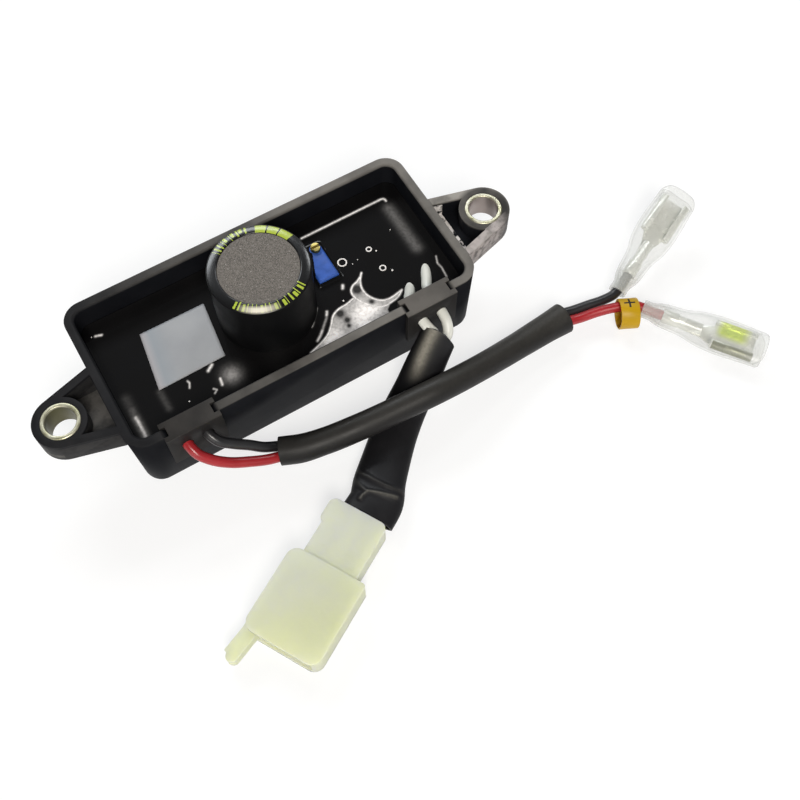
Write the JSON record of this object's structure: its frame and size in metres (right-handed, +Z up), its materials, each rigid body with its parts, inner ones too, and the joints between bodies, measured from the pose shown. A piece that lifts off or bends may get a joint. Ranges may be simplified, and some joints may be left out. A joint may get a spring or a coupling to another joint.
{
  "type": "automatic voltage regulator",
  "caption": "Potted voltage regulator for a small generator: open black tray with bushed mounting ears, standing capacitor, trimmer, sleeved leads, nylon connector and booted spade terminals.",
  "frame": {"origin": "middle of the underside of the housing, without the leads: half-way between the two ear ends and between the far wall and the outer faces of the wire gates", "axes": "+X along the tray through both mounting ears, +Y away from the wires, +Z up out of the open tray"},
  "size_m": [0.1549, 0.0886, 0.0312],
  "materials": {
    "tray": "moulded black thermoset, satin, grey along worn edges",
    "bush": "yellow-passivated steel, satin",
    "gate": "moulded black plastic",
    "resin": "poured black resin, mirror gloss with ripples and bubbles",
    "board": "laminate",
    "can": "dull aluminium",
    "can_skin": "shrunk black film with pale green marks",
    "bung": "moulded rubber",
    "trimmer": "moulded blue plastic",
    "trimmer_screw": "turned brass",
    "chip": "moulded epoxy",
    "film_capacitor": "dipped",
    "resistor": "lacquered",
    "label": "bare grey label film",
    "red_lead": "soft vinyl insulation",
    "black_lead": "soft vinyl insulation",
    "white_lead": "soft vinyl insulation",
    "sleeve": "soft vinyl tube, satin",
    "nylon": "natural nylon, slightly see-through",
    "tinned_brass": "tinned",
    "boot": "clear soft vinyl",
    "marker": "yellow marker tube"
  },
  "bodies": {
    "regulator": {"tray": "tray", "bush_left": "bush", "bush_right": "bush", "gate_left": "gate", "gate_right": "gate", "resin": "resin", "board": "board", "can": "can", "can_skin": "can_skin", "can_bung": "bung", "trimmer_body": "trimmer", "rectifier": "chip", "power_transistor": "chip", "film_capacitor": "film_capacitor", "small_transistor": "chip", "resistor_left": "resistor", "resistor_right": "resistor", "diode_far": "chip", "diode_near": "chip", "label": "label", "red_lead": "red_lead", "black_lead": "black_lead", "brush_sleeve": "sleeve", "white_lead_1": "white_lead", "white_lead_2": "white_lead", "sense_sleeve": "sleeve", "connector": "nylon", "contact_1": "tinned_brass", "contact_2": "tinned_brass", "red_spade": "tinned_brass", "black_spade": "tinned_brass", "red_boot": "boot", "black_boot": "boot", "marker": "marker"},
    "adjuster": {"trimmer_screw": "trimmer_screw"}
  },
  "joints": [
    {"name": "trimmer_turn", "type": "hinge", "parent": "regulator", "child": "adjuster", "pos_m": [0.0145, 0.00835, 0.0163], "axis": [0, 0, 1], "continuous": true}
  ]
}
